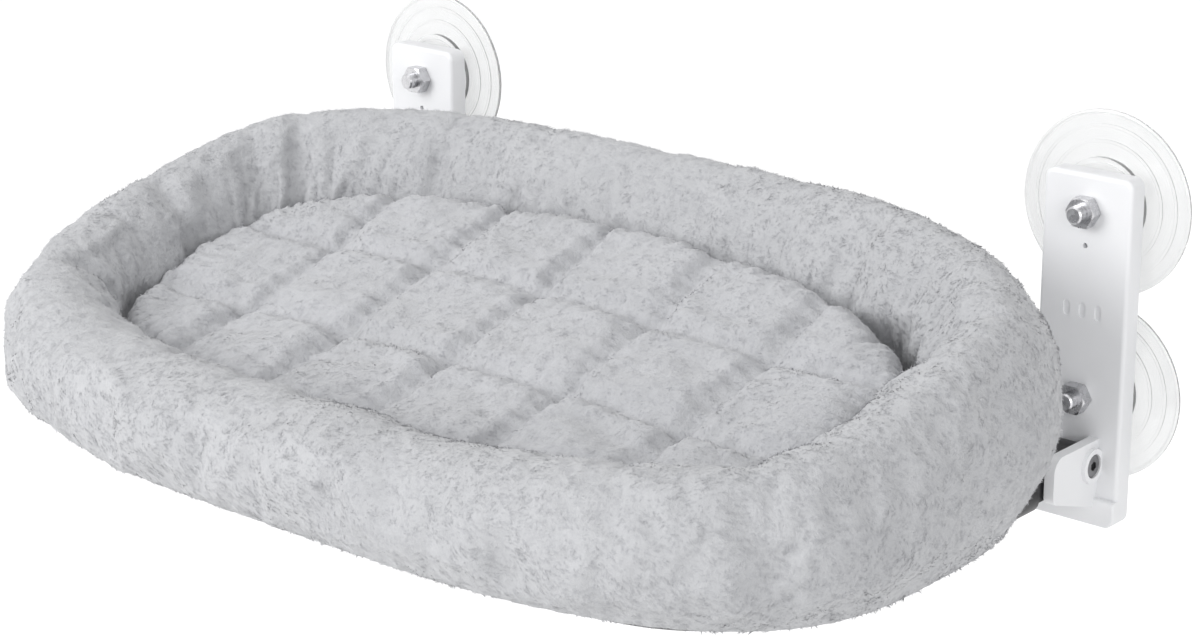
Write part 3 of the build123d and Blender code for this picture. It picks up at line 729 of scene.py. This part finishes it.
def make_pile(name, cover, hidden, blades, long, wide, material, seed):
    """Short pile on a cover: thin blades that lean together in small tufts."""
    rng = np.random.default_rng(seed)
    mesh = cover.data
    mesh.calc_loop_triangles()
    corners = np.empty(len(mesh.loop_triangles) * 3, int)
    mesh.loop_triangles.foreach_get("vertices", corners)
    corners = corners.reshape(-1, 3)
    points, normals = read_vertices(mesh, "co"), read_vertices(mesh, "normal")
    a, b, c = (points[corners[:, k]] for k in range(3))
    area = np.linalg.norm(np.cross(b - a, c - a), axis=1) / 2
    middle = (a + b + c) / 3
    up = normals[corners].mean(axis=1)
    weight = area * ((up[:, 2] > -0.97) & ~hidden(middle, up))
    pick = rng.choice(len(corners), blades, p=weight / weight.sum())
    mix = rng.dirichlet((1, 1, 1), blades)
    root = np.einsum("nk,nkj->nj", mix, points[corners[pick]])
    normal = np.einsum("nk,nkj->nj", mix, normals[corners[pick]])
    normal /= np.linalg.norm(normal, axis=1, keepdims=True)

    # Which way the blades lie: small tufts, broad brushed patches and a little straying
    tufts = np.array([noise.noise_vector(Vector(p) / TUFT_SIZE) for p in root])
    brushed = np.array([noise.noise_vector(Vector(p) / BRUSHED_SIZE) for p in root])
    lean = 1.1 * tufts + 1.2 * brushed + rng.normal(0, 0.2, (blades, 3)) + (0, 0, -0.3)
    lean -= normal * (lean * normal).sum(axis=1, keepdims=True)
    lean /= np.linalg.norm(lean, axis=1, keepdims=True)
    reach = long * rng.uniform(0.7, 1.15, (blades, 1))
    grow = normal * rng.uniform(0.10, 0.34, (blades, 1)) + lean
    grow /= np.linalg.norm(grow, axis=1, keepdims=True)
    side = np.cross(grow, normal + rng.normal(0, 0.14, (blades, 3)))
    side *= wide / 2 / np.linalg.norm(side, axis=1, keepdims=True)
    start = root - normal * BLADE_ROOT_DEPTH
    tip = root + grow * reach
    tip[:, 2] = np.maximum(tip[:, 2], np.minimum(root[:, 2], NEST_Z) - BLADE_BELOW_FOOT)

    places = np.stack([start - side, start + side, tip], 1).reshape(-1, 3)
    pile = bpy.data.meshes.new(name)
    pile.vertices.add(len(places))
    pile.vertices.foreach_set("co", places.reshape(-1))
    pile.loops.add(len(places))
    pile.loops.foreach_set("vertex_index", np.arange(len(places)))
    pile.polygons.add(blades)
    pile.polygons.foreach_set("loop_start", np.arange(blades) * 3)
    pile.polygons.foreach_set("loop_total", np.full(blades, 3))
    pile.update()
    # The blades take the light as the cover under them does, so that the pile looks soft
    soft = normal + 0.24 * tufts + rng.normal(0, 0.04, (blades, 3))
    soft /= np.linalg.norm(soft, axis=1, keepdims=True)
    pile.shade_smooth()
    pile.normals_split_custom_set_from_vertices(np.repeat(soft, 3, axis=0))
    pile.materials.append(material)
    obj = bpy.data.objects.new(name, pile)
    bpy.context.scene.collection.objects.link(obj)
    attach(obj, "bed")
    return obj


wall = make_wall()
mat = make_mat()
wall_pile = make_pile(
    "wall_pile", wall, behind_mat, WALL_BLADES, 3.6 * MM, 0.6 * MM, wall_fibre, 11
)
mat_pile = make_pile(
    "mat_pile", mat, under_mat, MAT_BLADES, 3.2 * MM, 0.55 * MM, mat_fibre, 12
)


# Cloth under the nest


def cloth_piece(name, points, faces, material, thick, nodes, flat, area):
    piece = mesh_piece(name, points, faces, material)
    body = piece.modifiers.new("thickness", "SOLIDIFY")
    body.thickness = thick
    body.offset = 0
    bake(piece)
    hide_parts(*nodes)


def sheet_area(points, faces):
    """Area of a surface of four-cornered faces."""
    a, b, c, d = points[np.array(faces)].swapaxes(0, 1)
    return float(np.linalg.norm(np.cross(c - a, d - b), axis=1).sum() / 2)


def make_base():
    """The base cloth: an oval laid on the sling, a little wavy at its hem."""
    rows, columns = 240, 26
    x, y, _, _ = nest_points(even_turns(rows)[0], BASE_PAST_MIDDLE)
    shares = np.linspace(0.02, 1, columns)
    px = x[:, None] * shares
    py = MID_Y + (y[:, None] - MID_Y) * shares
    points = np.stack([px, py, np.full_like(px, (base_low[2] + base_high[2]) / 2)], -1)
    points = points.reshape(-1, 3)
    points[:, 2] += lumps(points, 40 * MM, 21) * 0.15 * MM
    faces = []
    for i in range(rows):
        here, there = i * columns, (i + 1) % rows * columns
        faces += [(here + j, here + j + 1, there + j + 1, there + j) for j in range(columns - 1)]
    faces.append(tuple(i * columns for i in reversed(range(rows))))
    size = (base_high[0] - base_low[0], base_high[1] - base_low[1])
    oval_share = 0.88
    cloth_piece(
        "base_cloth", points, faces, base_weave, BASE_CLOTH, ["nest_base_cloth"],
        size, size[0] * size[1] * oval_share,
    )


def sling_edges(x):
    """Where the sling's front and back edges run at each x, and how deep its front notch is."""
    share = np.linspace(0, 1, 200)
    bow = 0.4 * share * (1 - share) * (SIDE_X - FRONT_OUTER)
    front_x = FRONT_OUTER + (SIDE_X - FRONT_OUTER) * share - bow
    front_y = FRONT_Y + (SIDE_FAR_Y - FRONT_Y) * share + bow
    front = np.interp(np.abs(x), front_x, front_y)
    notch = np.where(np.abs(x) < FRONT_SLEEVE_INNER, NOTCH_DEPTH, 0)
    back = np.interp(np.abs(x), (REAR_HALF, SIDE_X), (REAR_Y, SIDE_NEAR_Y))
    return front, notch, back


def make_sling():
    """The stretched panel: it sags a little and draws into creases at its sleeves."""
    rows, columns = 103, 46
    step = 0.1 * MM
    notch_sides = [s * (FRONT_SLEEVE_INNER + d) for s in (-1, 1) for d in (-step, step)]
    across = np.concatenate([np.linspace(-SIDE_X, SIDE_X, rows), notch_sides])
    across.sort()
    front, notch, back = sling_edges(across)
    down = np.linspace(0, 1, columns)
    px = np.repeat(across[:, None], columns, axis=1)
    py = front[:, None] + (back - front)[:, None] * down + notch[:, None] * (1 - down) ** 8
    middle = (panel_low[2] + panel_high[2]) / 2
    share = (py - FRONT_Y) / (REAR_Y - FRONT_Y)
    sag = 1.1 * MM * np.sin(np.pi * share) * np.cos(np.pi / 2 * px / SIDE_X)
    points = np.stack([px, py, middle - np.abs(sag)], -1).reshape(-1, 3)
    edge = np.tile(np.exp(-np.minimum(down, 1 - down) / 0.12), len(across))
    pull = edge * np.sin(points[:, 0] / (4.5 * MM) + lumps(points, 30 * MM, 22))
    points[:, 2] += 0.12 * MM * pull - 0.12 * MM
    faces = strip_faces(len(across), columns)
    cloth_piece(
        "sling_cover", points, faces, sling_weave, SLING_CLOTH, ["sling_panel"],
        (2 * SIDE_X, REAR_Y - FRONT_Y), sheet_area(points, faces),
    )


def along_tube(place, inward, half_length, profile, steps):
    """Carries a profile (inward, up) along a tube: its points and faces."""
    inward = np.array((*inward, 0.0))
    along = np.cross(inward, (0, 0, 1))
    centre = np.array((*place, TUBE_Z))
    runs = np.linspace(-half_length, half_length, steps)
    points = [
        centre + along * run + inward * u + np.array((0, 0, w)) for run in runs for u, w in profile
    ]
    return np.array(points), strip_faces(steps, len(profile))


def profile_length(profile):
    return float(np.linalg.norm(np.diff(np.array(profile), axis=0), axis=1).sum())


def arc(radius, first, sweep, steps):
    """Points of an arc in degrees, from the first turn over the sweep."""
    turns = [math.radians(first + sweep * k / steps) for k in range(steps + 1)]
    return [(radius * math.cos(t), radius * math.sin(t)) for t in turns]


def make_sleeves(runs):
    """Cloth sleeves round the tubes, each sewn down along a flat tab."""
    radius = TUBE_RADIUS + SLEEVE_CLOTH
    tab = [(SLEEVE_TAB * (1 - k / 12), radius) for k in range(12)]
    profile = tab + arc(radius, 90, 330, 44)
    for name, place, inward, half_length in runs:
        steps = int(half_length * 2 / (3 * MM))
        points, faces = along_tube(place, inward, half_length, profile, steps)
        rucks = lumps(points * (1, 1, 0.4), 9 * MM, 23) * 0.16 * MM
        along = np.cross((*inward, 0), (0, 0, 1))
        away = points - np.array((*place, TUBE_Z))
        away -= np.outer(away @ along, along)
        far = np.linalg.norm(away, axis=1, keepdims=True)
        points += np.where(far < radius + 0.3 * MM, away / far, 0) * rucks[:, None]
        tube = "rear_cross_tube" if name == "rear" else f"{name.split('_')[0]}_frame_half"
        cloth_piece(
            f"{name}_sleeve", points, faces, sling_weave, SLEEVE_CLOTH,
            ["sling_sleeves"], (profile_length(profile), 2 * half_length), None,
        )


def make_straps(places):
    """Short hook and loop straps from the base cloth round each sleeve to the sling."""
    radius = TUBE_RADIUS + STRAP_FROM_TUBE
    top = base_low[2] - TUBE_Z
    flap = TUBE_RADIUS - STRAP_FLAP_DROP
    profile = (
        [(-radius, top * (1 - k / 6)) for k in range(6)]
        + arc(radius, 180, 180, 20)
        + [(radius, flap * k / 4) for k in range(1, 4)]
        + [(radius + STRAP_FLAP * k / 12, flap) for k in range(12)]
    )
    for index, (place, inward, sleeve) in enumerate(places):
        points, faces = along_tube(place, inward, STRAP_WIDTH / 2, profile, 12)
        points += np.outer(lumps(points, 12 * MM, 30 + index) * 0.12 * MM, (0.4, 0.4, 0.4))
        cloth_piece(
            f"tie_strap_{index + 1}", points, faces, strap_weave, STRAP_CLOTH,
            ["tie_straps"], (STRAP_WIDTH, profile_length(profile)), None,
        )


make_base()
make_sling()
side_middle = (SIDE_NEAR_Y + SIDE_FAR_Y) / 2
side_half = (SIDE_NEAR_Y - SIDE_FAR_Y) / 2
front_middle = (FRONT_OUTER + FRONT_SLEEVE_INNER) / 2
front_half = (FRONT_OUTER - FRONT_SLEEVE_INNER) / 2
make_sleeves(
    [
        ("rear", (0, REAR_Y), (0, -1), REAR_HALF),
        ("left_side", (-SIDE_X, side_middle), (1, 0), side_half),
        ("right_side", (SIDE_X, side_middle), (-1, 0), side_half),
        ("left_front", (-front_middle, FRONT_Y), (0, 1), front_half),
        ("right_front", (front_middle, FRONT_Y), (0, 1), front_half),
    ]
)
make_straps(
    [
        ((-SIDE_X, side_middle), (1, 0), "left_side"),
        ((SIDE_X, side_middle), (-1, 0), "right_side"),
        ((-STRAP_FROM_MIDDLE, FRONT_Y), (0, 1), "left_front"),
        ((STRAP_FROM_MIDDLE, FRONT_Y), (0, 1), "right_front"),
        ((-STRAP_FROM_MIDDLE, REAR_Y), (0, -1), "rear"),
        ((STRAP_FROM_MIDDLE, REAR_Y), (0, -1), "rear"),
    ]
)

# Each piece of the nest gets a mesh of its own
for piece in (wall, mat, wall_pile, mat_pile):
    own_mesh(piece)


# Camera, light and floor

scene = bpy.context.scene
AZIMUTH = math.radians(40.9)
ELEVATION = math.radians(17.8)
ROLL = math.radians(-0.3)
CAMERA_PLACE = (0.8204, -1.0563, 0.3756)
camera_data = bpy.data.cameras.new("camera")
camera_data.lens = 84.2
camera_data.sensor_width = 36
camera_data.clip_end = 20
camera = bpy.data.objects.new("camera", camera_data)
scene.collection.objects.link(camera)
look = Vector(
    (
        -math.sin(AZIMUTH) * math.cos(ELEVATION),
        math.cos(AZIMUTH) * math.cos(ELEVATION),
        -math.sin(ELEVATION),
    )
)
level_right = Vector((math.cos(AZIMUTH), math.sin(AZIMUTH), 0))
level_up = level_right.cross(look)
right = level_right * math.cos(ROLL) + level_up * math.sin(ROLL)
up = level_up * math.cos(ROLL) - level_right * math.sin(ROLL)
facing = Matrix((right, up, -look)).transposed()
camera.matrix_world = Matrix.Translation(CAMERA_PLACE) @ facing.to_4x4()
scene.camera = camera


def lamp(name, place, size, power):
    """A round soft lamp that faces the middle of the bed."""
    data = bpy.data.lights.new(name, "AREA")
    data.shape = "DISK"
    data.size = size
    data.energy = power
    obj = bpy.data.objects.new(name, data)
    obj.location = place
    aim = Vector((0, MID_Y, 0)) - Vector(place)
    obj.rotation_euler = aim.to_track_quat("-Z", "Y").to_euler()
    scene.collection.objects.link(obj)


lamp("key", (-0.9, -2.1, 0.9), 1.6, 35)
lamp("fill", (2.0, -1.2, 0.7), 1.6, 15)
lamp("top", (-0.2, -0.4, 2.2), 2.0, 8)

# The studio is white where it is seen, directly, in a reflection or through the clear cups
STUDIO_LIGHT = 0.66
world = bpy.data.worlds.new("studio")
scene.world = world
studio = Tree(world)
shown = studio.rays("Is Camera Ray", "Is Transmission Ray", "Is Glossy Ray")
lit = studio.node("ShaderNodeBackground", {"Color": WHITE, "Strength": STUDIO_LIGHT})
seen = studio.node("ShaderNodeBackground", {"Color": WHITE, "Strength": 1.0})
either = studio.node("ShaderNodeMixShader", {0: shown, 1: lit.outputs[0], 2: seen.outputs[0]})
studio.feed(studio.nodes["World Output"].inputs["Surface"], either.outputs[0])

# The floor glows a little where it is seen, so that it meets the white studio without an edge
FLOOR_HALF = 4
FLOOR_Z = -0.45
FLOOR_GLOW = 0.36
FLOOR_GLOW_THROUGH_CUPS = 0.28
corners = [(-1, -1), (1, -1), (1, 1), (-1, 1)]
floor_mesh = bpy.data.meshes.new("floor")
floor_mesh.from_pydata([(x * FLOOR_HALF, y * FLOOR_HALF, 0) for x, y in corners], [], [range(4)])
floor = bpy.data.objects.new("floor", floor_mesh)
floor.location = (0, 0, FLOOR_Z)
scene.collection.objects.link(floor)
pale = Finish("pale_floor")
glow = pale.rays("Is Camera Ray") * FLOOR_GLOW
glow_through_cups = pale.rays("Is Transmission Ray", "Is Glossy Ray") * FLOOR_GLOW_THROUGH_CUPS
floor_mesh.materials.append(
    pale.set(
        Base_Color=(0.9, 0.9, 0.9, 1),
        Roughness=0.9,
        Emission_Color=glow.maths("MAXIMUM", glow_through_cups),
        Emission_Strength=1.0,
    )
)

scene.view_settings.view_transform = "Standard"
